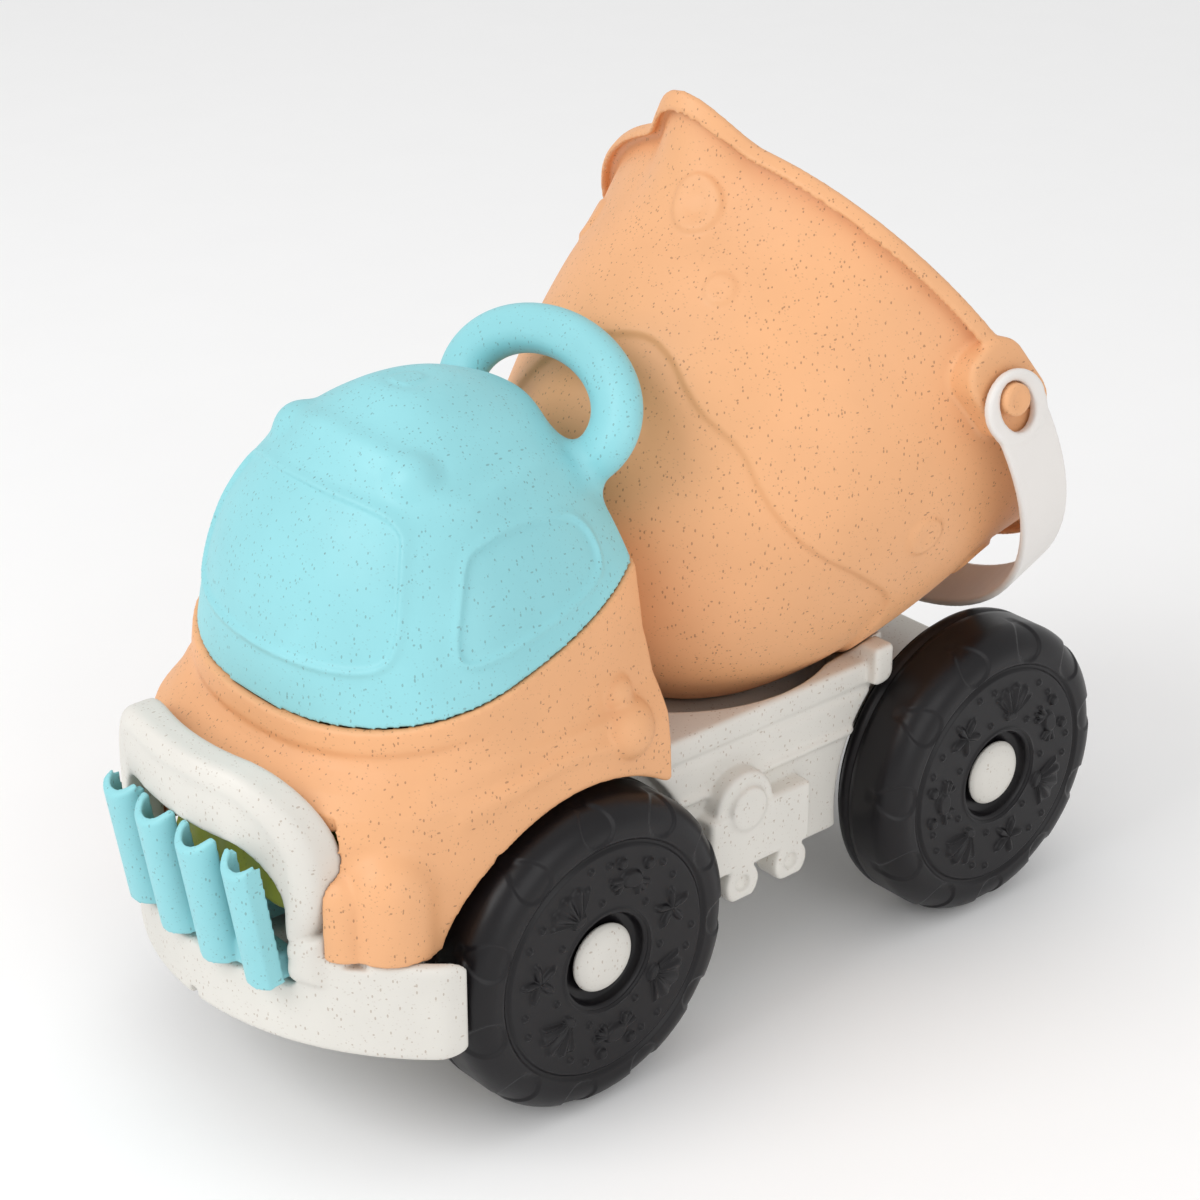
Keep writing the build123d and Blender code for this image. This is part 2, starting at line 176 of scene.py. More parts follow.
def from_quads(name, v, q, mat, nodes, body):
    v = np.asarray(v, float)
    q = np.asarray(q, np.int64)
    a, b, c, d = (v[q[:, i]] for i in range(4))
    vol = (np.cross(a, b) * c).sum() + (np.cross(a, c) * d).sum()
    if vol < 0:
        q = q[:, ::-1]
    return new_object(name, v, np.full(len(q), 4), q.ravel(), mat, nodes, body)


def relax(v, q, rounds):
    """a light smoothing that keeps the size"""
    n = len(v)
    e = np.concatenate([q[:, [0, 1]], q[:, [1, 2]], q[:, [2, 3]], q[:, [3, 0]]])
    deg = np.bincount(e.ravel(), minlength=n).astype(float)
    for k in range(rounds):
        for f in (0.5, -0.53):
            s = np.stack([np.bincount(e[:, 0], v[e[:, 1], i], n) + np.bincount(e[:, 1], v[e[:, 0], i], n) for i in range(3)], 1) / deg[:, None]
            v = v + (s - v) * f
    return v


def from_field(name, f, lo, h, mat, nodes, body, place=None, rounds=2):
    f = np.clip(f, -3 * h, 3 * h).astype(F)
    g = vdb.FloatGrid(3 * h)
    g.copyFromArray(np.ascontiguousarray(f))
    v, q = g.convertToQuads(0.0)
    v = np.array(v, float)
    q = np.array(q, np.int64)
    lab = np.arange(len(v))                       # only the largest connected piece is kept
    e = np.concatenate([q[:, [0, 1]], q[:, [1, 2]], q[:, [2, 3]]])
    while True:
        old = lab
        m = np.minimum(lab[e[:, 0]], lab[e[:, 1]])
        lab = lab.copy()
        order = np.argsort(-m, kind="stable")
        lab[e[order, 0]] = m[order]
        cur = lab.copy()
        order2 = np.argsort(-np.minimum(m, 1 << 60), kind="stable")
        cur[e[order2, 1]] = np.minimum(cur[e[order2, 1]], m[order2])
        lab = np.minimum(old, np.minimum(lab, cur))
        lab = lab[lab]
        if (lab == old).all():
            break
    keep = lab == np.bincount(lab).argmax()
    index = np.cumsum(keep) - 1
    q = index[q[keep[q[:, 0]]]]
    v = v[keep]
    v = relax(v, q, rounds)
    v = v * h + np.array(lo, float)
    if place is not None:
        v = place(v)
    return from_quads(name, v, q, mat, nodes, body)


# ------------------------------------------------------------------ materials
def plastic(name, rgb, rough=0.42, speck=(0.16, 0.07, 0.03), amount=0.8, fleck=1.0, vary=0.05, grain=0.04, coat=0.0):
    m = bpy.data.materials.new(name)
    m.use_nodes = True
    nt = m.node_tree
    nt.nodes.clear()
    N = nt.nodes.new
    L = nt.links.new
    out = N("ShaderNodeOutputMaterial")
    bs = N("ShaderNodeBsdfPrincipled")
    L(bs.outputs[0], out.inputs[0])
    tc = N("ShaderNodeTexCoord")
    # broad, faint clouding of the moulded plastic
    n1 = N("ShaderNodeTexNoise")
    n1.inputs["Scale"].default_value = 28.0
    n1.inputs["Detail"].default_value = 4.0
    L(tc.outputs["Object"], n1.inputs["Vector"])
    cr = N("ShaderNodeValToRGB")
    cr.color_ramp.elements[0].position = 0.3
    cr.color_ramp.elements[1].position = 0.7
    lo = [c * (1 - vary) for c in rgb]
    hi = [min(1, c * (1 + vary)) for c in rgb]
    cr.color_ramp.elements[0].color = (*lo, 1)
    cr.color_ramp.elements[1].color = (*hi, 1)
    L(n1.outputs["Fac"], cr.inputs["Fac"])
    col = cr.outputs["Color"]
    # straw flecks: small dark specks and a few longer fibres
    for i, (scale, stretch, size, gate, tint) in enumerate((
            (1150.0, (1, 1, 0.5), 0.28, 0.84, speck), (620.0, (0.45, 1, 1), 0.16, 0.80, speck),
            (1500.0, (1, 0.6, 1), 0.30, 0.78, tuple(0.55 * c + 0.45 * s for c, s in zip(rgb, speck))))):
        if amount <= 0:
            break
        mp = N("ShaderNodeMapping")
        mp.inputs["Scale"].default_value = stretch
        mp.inputs["Rotation"].default_value = (0.4 + i, 0.7 * i, 0.3)
        L(tc.outputs["Object"], mp.inputs["Vector"])
        vo = N("ShaderNodeTexVoronoi")
        vo.inputs["Scale"].default_value = scale * fleck
        L(mp.outputs[0], vo.inputs["Vector"])
        near = N("ShaderNodeMath")
        near.operation = "LESS_THAN"
        near.inputs[1].default_value = size
        L(vo.outputs["Distance"], near.inputs[0])
        sep = N("ShaderNodeSeparateColor")
        L(vo.outputs["Color"], sep.inputs[0])
        gt = N("ShaderNodeMath")
        gt.operation = "GREATER_THAN"
        gt.inputs[1].default_value = gate
        L(sep.outputs[0], gt.inputs[0])
        mul = N("ShaderNodeMath")
        mul.operation = "MULTIPLY"
        L(near.outputs[0], mul.inputs[0])
        L(gt.outputs[0], mul.inputs[1])
        dim = N("ShaderNodeMath")
        dim.operation = "MULTIPLY"
        dim.inputs[1].default_value = amount * (0.75 if i < 2 else 0.6)
        L(mul.outputs[0], dim.inputs[0])
        mx = N("ShaderNodeMix")
        mx.data_type = "RGBA"
        L(dim.outputs[0], mx.inputs["Factor"])
        L(col, mx.inputs["A"])
        mx.inputs["B"].default_value = (*tint, 1)
        col = mx.outputs["Result"]
    L(col, bs.inputs["Base Color"])
    # roughness and a fine moulded grain
    n2 = N("ShaderNodeTexNoise")
    n2.inputs["Scale"].default_value = 240.0
    n2.inputs["Detail"].default_value = 3.0
    L(tc.outputs["Object"], n2.inputs["Vector"])
    mr = N("ShaderNodeMapRange")
    mr.inputs["To Min"].default_value = rough - 0.06
    mr.inputs["To Max"].default_value = rough + 0.06
    L(n2.outputs["Fac"], mr.inputs["Value"])
    L(mr.outputs[0], bs.inputs["Roughness"])
    n3 = N("ShaderNodeTexNoise")
    n3.inputs["Scale"].default_value = 1400.0
    n3.inputs["Detail"].default_value = 2.0
    L(tc.outputs["Object"], n3.inputs["Vector"])
    bp = N("ShaderNodeBump")
    bp.inputs["Strength"].default_value = grain
    bp.inputs["Distance"].default_value = 0.0004
    L(n3.outputs["Fac"], bp.inputs["Height"])
    L(bp.outputs[0], bs.inputs["Normal"])
    bs.inputs["Specular IOR Level"].default_value = 0.45
    if coat:
        bs.inputs["Coat Weight"].default_value = coat
        bs.inputs["Coat Roughness"].default_value = 0.3
    return m


def steel(name):
    m = plastic(name, (0.55, 0.55, 0.57), rough=0.32, amount=0, vary=0.06)
    bs = [n for n in m.node_tree.nodes if n.type == "BSDF_PRINCIPLED"][0]
    bs.inputs["Metallic"].default_value = 1.0
    return m


def lin(r, g, b):
    return tuple((c / 255 / 12.92) if c / 255 <= 0.04045 else ((c / 255 + 0.055) / 1.055) ** 2.4 for c in (r, g, b))


M_PEACH = plastic("peach_straw_plastic", lin(226, 168, 120), rough=0.52, amount=0.7)
M_BLUE = plastic("blue_straw_plastic", lin(140, 204, 211), rough=0.5, speck=(0.10, 0.11, 0.10), amount=0.55)
M_WHITE = plastic("offwhite_straw_plastic", lin(214, 211, 204), rough=0.5, speck=(0.28, 0.17, 0.10), amount=0.6)
M_BLACK = plastic("black_plastic", lin(17, 15, 18), rough=0.36, amount=0, vary=0.12, grain=0.05)
M_STRAP = plastic("strap_plastic", lin(224, 220, 216), rough=0.45, amount=0, vary=0.015)
[n for n in M_BLACK.node_tree.nodes if n.type == "BSDF_PRINCIPLED"][0].inputs["Specular IOR Level"].default_value = 0.3
M_OLIVE = plastic("olive_plastic", lin(150, 158, 62), rough=0.42, speck=(0.10, 0.10, 0.03), amount=0.5)
M_STEEL = steel("axle_steel")

# ------------------------------------------------------------------ cab and roof sections
ZC = 156.4 - 0.30 * 94


def seam(x):
    return 156.4 - 0.30 * x


def knots(t, ts, vals):
    """smooth curve through the knots"""
    ts, vals = np.array(ts, float), np.array(vals, float)
    fine = smooth(np.stack([ts, vals], 1), 10)
    return np.interp(t, fine[:, 0], fine[:, 1]).astype(F)


def roof_field(x, y, z, h):
    u = x - 94.0
    t = (z - ZC + 0.30 * u) / (1 + 0.30 * u / 62.0)
    H = 62.0
    ts = [-10, 0, 10, 20, 30, 40, 50, 57, 60.5, 62.0]
    b = knots(t, ts, [59.6, 57.6, 54.9, 51.8, 46.8, 38.6, 27.6, 16.9, 9.5, 0.6])
    af = knots(t, ts, [41.8, 41.1, 39.9, 38.2, 35.3, 30.0, 21.3, 12.0, 6.8, 0.5])
    ar = knots(t, ts, [78, 70.9, 63.8, 56.6, 50.0, 44.2, 37.2, 24.0, 13.5, 0.9])
    xc = knots(t, ts, [94.5, 94, 93.8, 93.2, 92.2, 90.6, 88.0, 85.6, 84.4, 84])
    v = x - xc
    a = ar + (af - ar) * sstep(v / 10.0 + 0.5)
    rho = ((np.abs(v) / a) ** 2.2 + (np.abs(y) / b) ** 2.2) ** (1 / 2.2)
    f = np.where(t > H * 0.999, 1.0, rho - 1.0)
    f = np.maximum(f, (t - H) / 40.0)
    return unit_field(f.astype(F), h), t


def cab_field(x, y, z, h):
    zs = np.broadcast_to(z, (x.shape[0], 1, z.shape[2])).astype(float)
    xs = np.broadcast_to(x, zs.shape).astype(float)
    kn = [40, 62, 84, 95, 102, 109, 116.2, 128.2, 140]

    def par(vals):
        return lambda q: np.interp(q, kn, vals)
    kf = par([0, 0, 0, -0.02, -0.05, -0.11, -0.20, -0.30, -0.34])
    xcf = par([85, 85, 85, 85.2, 86, 88.5, 91.5, 94, 96])
    lam = zs.copy()
    for _ in range(40):
        lam = 0.5 * lam + 0.5 * (zs - kf(lam) * (xs - xcf(lam)))
    xc, af, ar, b, n = (par(p)(lam).astype(F) for p in (
        [85, 85, 85, 85.2, 86, 88.5, 91.5, 94, 96],
        [68.5, 68.5, 68.5, 66.6, 63.5, 57.0, 47.5, 42.4, 38],
        [110, 110, 110, 107, 103, 83, 76, 72, 66],
        [62.5, 62.5, 62.5, 62.2, 61.6, 58.8, 58.6, 58.5, 57.6],
        [2.7, 2.7, 2.7, 2.65, 2.55, 2.35, 2.22, 2.2, 2.2]))
    v = x - xc
    a = ar + (af - ar) * sstep(v / 12.0 + 0.5)
    rho = ((np.abs(v) / a) ** n + (np.abs(y) / b) ** n) ** (1 / n)
    return unit_field((rho - 1).astype(F), h), lam.astype(F)


# ------------------------------------------------------------------ roof scoop
def make_roof():
    h = 0.62
    lo, hi = (8, -62, 108), (140, 62, 204)
    x, y, z = axes(lo, hi, h)
    d, t = roof_field(x, y, z, h)
    ay = np.abs(y)
    # the brow: a soft ridge over the windscreen that runs back along both sides
    brow = smooth([(104.8, 0, 180.6), (104.2, 12, 179.8), (101.8, 23, 177.2), (100.8, 31, 172.2), (92.0, 36.6, 170.0), (80.0, 36.6, 170.6), (66.0, 33.0, 170.5), (52.0, 28.0, 165.5)], 4)
    bd = line_dist((x, ay, z), brow)
    d = d - 1.5 * np.exp(-(bd / 3.6) ** 2) * sstep((x - 47) / 14)
    # window outlines, thin raised lines
    yy, zz = np.broadcast_arrays(ay[0, :, 0][:, None], z[0, 0, :][None, :])
    ws = smooth([(0, 171.2), (16, 170.6), (26, 169.0), (31.6, 166.4), (34.8, 162.5), (39.2, 152.1), (41.2, 141.5), (39.6, 135.6), (33.5, 132.8), (20, 131.4), (0, 130.8)], 5)
    wd = line_dist((yy, zz), ws)
    glass = inside(yy, zz, np.vstack([ws, [(-5, 130.8), (-5, 171.2)]]))
    w2 = (np.exp(-(wd / 1.0) ** 2) * 0.75 - 0.45 * np.where(glass, sstep(wd / 1.4), 0)).astype(F)[None, :, :]
    d = d - w2 * sstep((x - 99) / 4)
    xx, zz = np.broadcast_arrays(x[:, 0, 0][:, None], z[0, 0, :][None, :])
    sw = smooth([(93.3, 162.4), (100.2, 159.4), (105.0, 150.5), (108.3, 140.5), (106.8, 135.6), (98, 136.4), (87.3, 138.7), (72.2, 142.0), (61.5, 145.4), (58.8, 150.0), (60.3, 156.2), (65.5, 161.0), (74.5, 163.4), (84, 163.6)], 5, True)
    swc = np.vstack([sw, sw[:1]])
    sd = line_dist((xx, zz), swc)
    s2 = (np.exp(-(sd / 1.0) ** 2) * 0.7 - 0.4 * np.where(inside(xx, zz, sw), sstep(sd / 1.4), 0)).astype(F)[:, None, :]
    d = d - s2 * sstep((ay - 25) / 4)
    body = smax(d, 45.0 - x, 2.2)
    for s in (-1, 1):
        body = smin(body, ball(x, y, z, (99.8, s * 23.6, 172.6), 7.6), 2.4)
    shell = np.maximum(body, -(smax(d, 45.0 - x, 3.0) + 2.4))
    # upright grip across the rear edge
    cl, sl = math.cos(math.radians(30)), math.sin(math.radians(30))
    gx, gz = x - 40.5, z - 172.8
    up = -sl * gx + cl * gz
    w = cl * gx + sl * gz
    o = (np.sqrt((y / 38.5) ** 2 + (up / 25.0) ** 2) - 1)
    i = (np.sqrt((y / 23.0) ** 2 + ((up + 0.8) / 12.2) ** 2) - 1)
    ring2 = smax(o * 27.0, -i * 14.5, 5.0)
    ring = smax(ring2, np.abs(w) - 5.6, 6.5)
    ring = np.maximum(ring, -(body + 1.2))
    f = smin(shell, ring, 5.0)
    f = np.maximum(f, 0.4 - t)
    f = np.maximum(f, 144.2 - z - 1000 * (x > 44.8))
    return from_field("roof_scoop_moulded", f, lo, h, M_BLUE, ["roof_scoop"], "roof")


# ------------------------------------------------------------------ cab
CX_NOSE, R_NOSE = 159.0 - (68.0 ** 2 + 33.0 ** 2) / 66.0, (68.0 ** 2 + 33.0 ** 2) / 66.0


def make_cab():
    h = 0.8
    lo, hi = (42, -72, 58), (160, 72, 146)
    x, y, z = axes(lo, hi, h)
    d, lam = cab_field(x, y, z, h)
    body = d
    ay = np.abs(y)
    for c0, c1, r in (((129.9, 49.0, 50), (129.9, 49.0, 80.5), 11.9), ((139.2, 43.2, 50), (139.2, 43.2, 78.0), 8.4)):
        body = smin(body, capsule(x, ay, z, c0, c1, r), 0.9 if r < 11 else 3.0)
    # two folds that run forward from the door nub
    for pts, hgt in ((((66, 59.5, 108.0), (86, 60.5, 109.5), (104, 57.5, 107.5), (119, 52, 104.5)), 1.3), (((64, 60.5, 101), (78, 61.5, 104.5), (96, 61, 102), (113, 58, 97.0)), 1.5)):
        ld = line_dist((x, ay, z), smooth(pts, 4))
        body = body - hgt * np.exp(-(ld / 2.3) ** 2)
    body = smin(body, ball(x, ay, z, (60.0, 56.5, 103.8), 9.0), 1.0)
    body = smin(body, ball(x, ay, z, (61.5, 54.5, 113.6), 5.6), 0.9)
    rim = -0.9 * np.exp(-((lam - 119.0) / 1.8) ** 2) * sstep((x - 96) / 20)
    body = body - rim
    body = smax(body, 45.0 - x, 2.0)
    inner = smax(d + 2.6, 47.6 - x, 3.0)
    low = np.maximum(ay - 41.0, z - 96.0)
    inner = np.where(z < 96.0, np.maximum(inner, ay - 41.0), inner)
    f = smax(body, -inner, 0.8)
    # wheel arches, deck, mouth and seat for the grille
    arch = np.sqrt((x - 75.5) ** 2 + (z - 45.0) ** 2) - 48.4
    f = smax(f, -np.maximum(arch, 43.6 - ay), 1.4)
    f = smax(f, -rbox(x, ay, z, (0, 43.6, 20), (105, 90, 84.6), 0.5), 1.0)
    f = np.maximum(f, -rbox(x, ay, z, (0, -60, 0), (59, 50.3, 87.2), 0.3))
    f = np.maximum(f, -rbox(x, ay, z, (0, -60, 0), (70, 90, 84.6), 0.3))
    f = np.maximum(f, -rbox(x, ay, z, (120, -60, 50), (200, 38, 93), 0.3))
    f = np.maximum(f, lam - 128.2)
    rr = np.sqrt((x - CX_NOSE) ** 2 + y * y)
    band = np.abs(rr - (R_NOSE + 2.4 - 5.45)) - 5.45
    rec = np.minimum(rrect(y, z, 0, 80.5, 43.9, 30.9, 26), rrect(y, z, 0, 62, 43.9, 8, 0.5))
    f = np.maximum(f, -np.maximum(band, rec))
    f = np.maximum(f, -np.maximum(np.maximum(rr - R_NOSE - 30, R_NOSE - 4.5 - rr), z - 63.2))
    f = np.maximum(f, 62.4 - z)
    ribs = rbox(x, ay, z, (104, 33.5, 66), (136, 42.0, 68), 0.4)
    f = np.minimum(f, ribs)
    return from_field("cab_moulded", f, lo, h, M_PEACH, ["cab_shell"], "root")


# ------------------------------------------------------------------ bumper and grille frame
def make_fascia():
    h = 0.7
    lo, hi = (118, -72, 32), (166, 72, 115)
    x, y, z = axes(lo, hi, h)
    rr = np.sqrt((x - CX_NOSE) ** 2 + y * y)
    b2 = rrect(y, z, 0, 49.2, 68.0, 13.9, 3.0)
    bump = smax(np.maximum(rr - R_NOSE, R_NOSE - 4.2 - rr), b2, 2.0)
    f2 = np.minimum(rrect(y, z, 0, 83.5, 43.5, 27.5, 26), rrect(y, z, 0, 62, 43.5, 7, 1.0))
    m2 = np.minimum(rrect(y, z, 0, 72.0, 36.0, 19.0, 17), rrect(y, z, 0, 62, 36.0, 9, 3.0))
    # the frame's face rolls over at its outer edge
    face = rr - (R_NOSE + 2.1 + 0.5 * np.exp(-((f2 + 4.5) / 2.2) ** 2))
    fr = smax(np.maximum(face, R_NOSE + 2.0 - 10.2 - rr), f2, 3.2)
    f = smin(bump, fr, 1.6)
    f = smax(f, -m2, 1.6)
    f = np.maximum(f, -rbox(x, y, z, (140, -1.6, 20), (175, 1.6, 38.2), 0.3))
    for s in (-1, 1):
        f = np.maximum(f, -rbox(x, y * s, z, (140, 47.5, 61.2), (165, 55.5, 66), 0.3))
    return from_field("bumper_grille_moulded", f, lo, h, M_WHITE, ["bumper_grille"], "root")


# ------------------------------------------------------------------ pail
TAU = math.radians(56.1)
AXV = np.array([-math.sin(TAU), 0.0, math.cos(TAU)])
REF = np.array([math.cos(TAU), 0.0, math.sin(TAU)])
PO = np.array([-70.5, 0.0, 165.3])
TURN = math.radians(11.0)
EX = REF * math.cos(TURN) - np.array([0, 1.0, 0]) * math.sin(TURN)
EY = REF * math.sin(TURN) + np.array([0, 1.0, 0]) * math.cos(TURN)
PROF = smooth([(79.2, -3), (78.5, 0), (76.2, 9), (72.8, 22), (70.6, 38), (66.0, 58), (58.6, 79), (48.2, 98), (36.5, 111), (24.0, 118.6), (12.0, 121.2), (0.0, 121.4)], 6)[6:]


def pail_world(v):
    return PO + v[:, :1] * EX + v[:, 1:2] * EY + v[:, 2:3] * AXV


SWIRLS = []


def make_drum(field, drum_clear=None):
    h = 0.75
    lo, hi = (-90, -92, -123), (100, 92, 6)
    x, y, z = axes(lo, hi, h)
    r = np.sqrt(x * x + y * y)
    s = -z
    # outer and inner walls as one closed outline in (r, s)
    out = PROF.copy()
    tang = np.gradient(out, axis=0)
    tang /= np.linalg.norm(tang, axis=1)[:, None]
    nin = np.stack([-tang[:, 1], tang[:, 0]], 1)
    inn = out + nin * 2.2
    inn = inn[inn[:, 0] > 0]
    lip = [(76.3, 0.2), (77.0, -0.0), (81.3, -0.0), (82.5, 1.2), (82.5, 4.6), (81.6, 5.4), (80.7, 4.6), (80.5, 2.6), (78.6, 2.4)]
    outline = np.vstack([np.array(lip), out[out[:, 1] > 2.8], [(0, 119.2)], inn[::-1][1:]])
    gr, gs = np.arange(0, 104, 0.4), np.arange(-8, 126, 0.4)
    tab = poly_field(gr[:, None], gs[None, :], outline).astype(F)

    def sample(rr, ss):
        a = np.clip(rr / 0.4, 0, len(gr) - 1.001)
        b = np.clip((ss + 8) / 0.4, 0, len(gs) - 1.001)
        i, j = a.astype(np.int32), b.astype(np.int32)
        fa, fb = (a - i).astype(F), (b - j).astype(F)
        return (tab[i, j] * (1 - fa) * (1 - fb) + tab[i + 1, j] * fa * (1 - fb) + tab[i, j + 1] * (1 - fa) * fb + tab[i + 1, j + 1] * fa * fb)
    th = np.arctan2(y, x)
    # the pouring spout bulges the wall and its lip outwards
    bump = np.cos(np.clip((np.degrees(th) - 6.0) / 17.0, -1, 1) * math.pi / 2) ** 2
    r = r - (14.2 * bump * np.clip(1 - s / 34.0, 0, 1.1) ** 1.7).astype(F)
    wall = sample(r, s + 0 * r)
    rp = np.interp(s.ravel(), PROF[:, 1], PROF[:, 0]).astype(F)[None, None, :]
    relief = field(th, s, rp)
    outer_side = sstep((r - rp + 1.5) / 1.0)
    f = wall - relief * outer_side
    # peg ears
    ya = np.abs(y)
    e2 = rrect(x, s, 0, 7.0, 14.8, 10.2, 8.5)
    ear = smax(e2, smax(ya - 82.7, 72.0 - ya, 0.5), 1.6)
    f = smin(f, np.maximum(ear, -(r - rp + 0.4)), 1.2)
    peg = smax(np.sqrt(x * x + (s - 9.5) ** 2) - 4.5, np.abs(ya - 84.4) - 3.9, 1.0)
    f = np.minimum(f, peg)
    head = smax(np.sqrt(x * x + (s - 9.5) ** 2) - 2.0, np.abs(ya - 89) - 1.2, 0.5)
    f = np.maximum(f, -head)
    return from_field("pail_moulded", f, lo, h, M_PEACH, ["pail_drum"], "pail", place=pail_world)


def pail_relief(th, s, rp):
    out = 0
    deg = np.degrees(th)
    for (t0, s0, rad, hgt) in DISCS:
        dt = np.radians((deg - t0 + 180) % 360 - 180) * rp
        q = np.sqrt(dt ** 2 + (s - s0) ** 2)
        out = out + hgt * sstep((rad - q) / 1.6) - 0.4 * hgt * sstep((rad - 3.4 - q) / 3.0)
    # the swirl: below this wavy line the wall steps in, like the trough of a breaking wave
    sm = smooth(SWIRL, 6)
    dd = (deg + 20) % 360 - 20
    line = np.interp(dd, sm[:, 0], sm[:, 1]).astype(F)
    slope = np.gradient(np.interp(np.arange(-20, 341.0), sm[:, 0], sm[:, 1]))
    sl = np.interp(dd, np.arange(-20, 341.0), slope).astype(F) / math.radians(1) / 62.0
    q = (s - line) / np.sqrt(1 + sl * sl)
    out = out - 1.6 * sstep(q / 2.0 + 0.5) * np.exp(-np.maximum(q, 0) / 16.0) + 0.5 * np.exp(-(np.minimum(q, 0) / 9.0) ** 2) * sstep(0.5 - q / 2.0)
    return out


DISCS = [(14.6, 20.2, 8.2, 1.2), (31, 37, 5.2, 0.7), (109, 44.5, 6.5, 0.9), (150, 24, 8.2, 1.2), (196, 46, 6.0, 0.8), (240, 22, 8.2, 1.2), (286, 44, 6.5, 0.9), (330, 24, 7.2, 1.0)]
SWIRL = [(-20, 82), (2, 66), (14, 60.3), (23, 57.4), (31, 59.4), (38, 63.4), (46, 66.4), (58, 67.4), (67, 71.0), (78, 73.0), (91, 71.4), (106, 65.2), (120, 60.5), (128, 62.5), (136, 68), (148, 71), (164, 71), (176, 76), (190, 84), (210, 87), (228, 80), (240, 68), (252, 60), (264, 58), (276, 62), (290, 70), (305, 76), (320, 80), (340, 82)]


# ------------------------------------------------------------------ bail
def make_bail():
    pd = EY
    mid = PO - AXV * 9.5
    lean = math.radians(25)
    dn0 = np.array([-math.sin(lean), 0, -math.cos(lean)])
    dn = dn0 - pd * (dn0 @ pd)
    dn /= np.linalg.norm(dn)
    sd = np.cross(pd, dn)
    h = 0.6
    lo, hi = (-92, -14, -14), (92, 92, 14)
    u, v, w = axes(lo, hi, h)
    a = np.radians(np.arange(180, -1, -4))
    hw, dep = 84.2 + 1.1, 87.4 - 1.1
    path = np.vstack([[(-hw, -12.0)], np.stack([hw * np.cos(a), 4.0 + (dep - 4.0) * np.sin(a)], 1), [(hw, -12.0)]])
    uu, vv = u[:, :, 0], v[:, :, 0]
    c2 = (line_dist((uu, vv), path) - 1.1)[:, :, None].astype(F)
    au = np.abs(u)
    half = 9.0 - 0.0 * v
    wid = np.abs(w) - half
    # a flat band along the strap's path, trimmed to where v is above 6
    strap = smax(c2 - 0.0, wid, 0.9)
    strap = smax(strap, -(v - 6.0), 0.9)
    eye = np.sqrt((v - 2.6) ** 2 + w * w)
    ring = smax(eye - 10.2, np.abs(au - 85.3) - 1.35, 1.0)
    f = smin(strap, ring, 1.2)
    f = smax(f, -(np.sqrt(((v - 2.6) / 7.6) ** 2 + (w / 5.7) ** 2) - 1) * 6.0, 0.8)

    def place(p):
        return mid + p[:, :1] * pd + p[:, 1:2] * dn + p[:, 2:3] * sd
    return from_field("bail_strap", f, lo, h, M_STRAP, ["pail_bail"], "bail", place=place)


